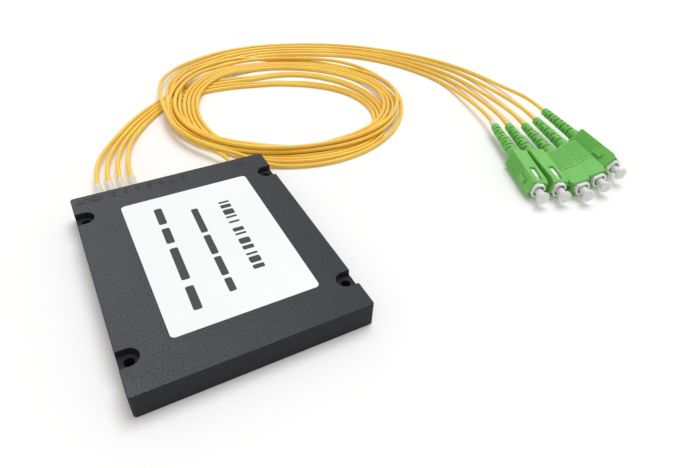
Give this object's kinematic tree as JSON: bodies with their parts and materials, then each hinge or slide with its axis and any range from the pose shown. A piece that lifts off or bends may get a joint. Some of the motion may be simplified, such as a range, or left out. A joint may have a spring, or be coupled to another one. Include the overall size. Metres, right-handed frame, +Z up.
{
  "type": "fibre optic splitter",
  "caption": "Flat moulded box that splits one optical fibre into several, with a loose coil of thin cables ending in square push-pull plugs under dust caps.",
  "frame": {"origin": "middle of the box's underside, on the surface it lies on", "axes": "+Z up through the label; +Y towards the wall the cables leave by; +X to the right when looking along +Y"},
  "size_m": [0.2391, 0.2302, 0.0114],
  "materials": {
    "box_plastic": "fine grained, matte",
    "label_film": "smooth printed film",
    "chip_steel": "brushed",
    "fibre_coating": "smooth",
    "clear_sleeve": "smooth, see-through",
    "cable_jacket": "satin",
    "green_shell": "smooth",
    "white_frame": "smooth",
    "ferrule_ceramic": "ground",
    "cap_plastic": "translucent, satin",
    "plated_metal": "nickel plated",
    "boot_rubber": "satin"
  },
  "bodies": {
    "splitter": {"base_tray": "box_plastic", "boot_1": "boot_rubber", "boot_2": "boot_rubber", "boot_3": "boot_rubber", "boot_4": "boot_rubber", "boot_5": "boot_rubber", "cable_coil": "cable_jacket", "input_fibre": "fibre_coating", "label": "label_film", "lead_in_1": "cable_jacket", "lead_in_2": "cable_jacket", "lead_in_3": "cable_jacket", "lead_in_4": "cable_jacket", "lead_in_5": "cable_jacket", "lead_out_1": "cable_jacket", "lead_out_2": "cable_jacket", "lead_out_3": "cable_jacket", "lead_out_4": "cable_jacket", "lead_out_5": "cable_jacket", "lid": "box_plastic", "output_fibre_1": "fibre_coating", "output_fibre_2": "fibre_coating", "output_fibre_3": "fibre_coating", "output_fibre_4": "fibre_coating", "plug_frame_1": "white_frame", "plug_frame_2": "white_frame", "plug_frame_3": "white_frame", "plug_frame_4": "white_frame", "plug_frame_5": "white_frame", "sleeve_1": "clear_sleeve", "sleeve_2": "clear_sleeve", "sleeve_3": "clear_sleeve", "sleeve_4": "clear_sleeve", "sleeve_5": "clear_sleeve", "splitter_chip": "chip_steel", "stop_body_1": "plated_metal", "stop_body_2": "plated_metal", "stop_body_3": "plated_metal", "stop_body_4": "plated_metal", "stop_body_5": "plated_metal"},
    "shell_1": {"coupling_shell_1": "green_shell"},
    "ferrule_1": {"ferrule_1": "ferrule_ceramic"},
    "cap_1": {"dust_cap_1": "cap_plastic"},
    "shell_2": {"coupling_shell_2": "green_shell"},
    "ferrule_2": {"ferrule_2": "ferrule_ceramic"},
    "cap_2": {"dust_cap_2": "cap_plastic"},
    "shell_3": {"coupling_shell_3": "green_shell"},
    "ferrule_3": {"ferrule_3": "ferrule_ceramic"},
    "cap_3": {"dust_cap_3": "cap_plastic"},
    "shell_4": {"coupling_shell_4": "green_shell"},
    "ferrule_4": {"ferrule_4": "ferrule_ceramic"},
    "cap_4": {"dust_cap_4": "cap_plastic"},
    "shell_5": {"coupling_shell_5": "green_shell"},
    "ferrule_5": {"ferrule_5": "ferrule_ceramic"},
    "cap_5": {"dust_cap_5": "cap_plastic"}
  },
  "joints": [
    {"name": "shell_slide_1", "type": "slide", "parent": "splitter", "child": "shell_1", "axis": [-0.213, -0.977, 0], "range_m": [-0.0015, 0]},
    {"name": "ferrule_press_1", "type": "slide", "parent": "splitter", "child": "ferrule_1", "axis": [-0.213, -0.977, 0], "range_m": [-0.0008, 0], "stiffness_N_per_m": 1000},
    {"name": "cap_pull_1", "type": "slide", "parent": "ferrule_1", "child": "cap_1", "axis": [-0.213, -0.977, 0], "range_m": [0, 0.012]},
    {"name": "shell_slide_2", "type": "slide", "parent": "splitter", "child": "shell_2", "axis": [-0.2571, -0.9664, 0], "range_m": [-0.0015, 0]},
    {"name": "ferrule_press_2", "type": "slide", "parent": "splitter", "child": "ferrule_2", "axis": [-0.2571, -0.9664, 0], "range_m": [-0.0008, 0], "stiffness_N_per_m": 1000},
    {"name": "cap_pull_2", "type": "slide", "parent": "ferrule_2", "child": "cap_2", "axis": [-0.2571, -0.9664, 0], "range_m": [0, 0.012]},
    {"name": "shell_slide_3", "type": "slide", "parent": "splitter", "child": "shell_3", "axis": [-0.2957, -0.9553, 0], "range_m": [-0.0015, 0]},
    {"name": "ferrule_press_3", "type": "slide", "parent": "splitter", "child": "ferrule_3", "axis": [-0.2957, -0.9553, 0], "range_m": [-0.0008, 0], "stiffness_N_per_m": 1000},
    {"name": "cap_pull_3", "type": "slide", "parent": "ferrule_3", "child": "cap_3", "axis": [-0.2957, -0.9553, 0], "range_m": [0, 0.012]},
    {"name": "shell_slide_4", "type": "slide", "parent": "splitter", "child": "shell_4", "axis": [-0.342, -0.9397, 0], "range_m": [-0.0015, 0]},
    {"name": "ferrule_press_4", "type": "slide", "parent": "splitter", "child": "ferrule_4", "axis": [-0.342, -0.9397, 0], "range_m": [-0.0008, 0], "stiffness_N_per_m": 1000},
    {"name": "cap_pull_4", "type": "slide", "parent": "ferrule_4", "child": "cap_4", "axis": [-0.342, -0.9397, 0], "range_m": [0, 0.012]},
    {"name": "shell_slide_5", "type": "slide", "parent": "splitter", "child": "shell_5", "axis": [-0.1564, -0.9877, 0], "range_m": [-0.0015, 0]},
    {"name": "ferrule_press_5", "type": "slide", "parent": "splitter", "child": "ferrule_5", "axis": [-0.1564, -0.9877, 0], "range_m": [-0.0008, 0], "stiffness_N_per_m": 1000},
    {"name": "cap_pull_5", "type": "slide", "parent": "ferrule_5", "child": "cap_5", "axis": [-0.1564, -0.9877, 0], "range_m": [0, 0.012]}
  ]
}
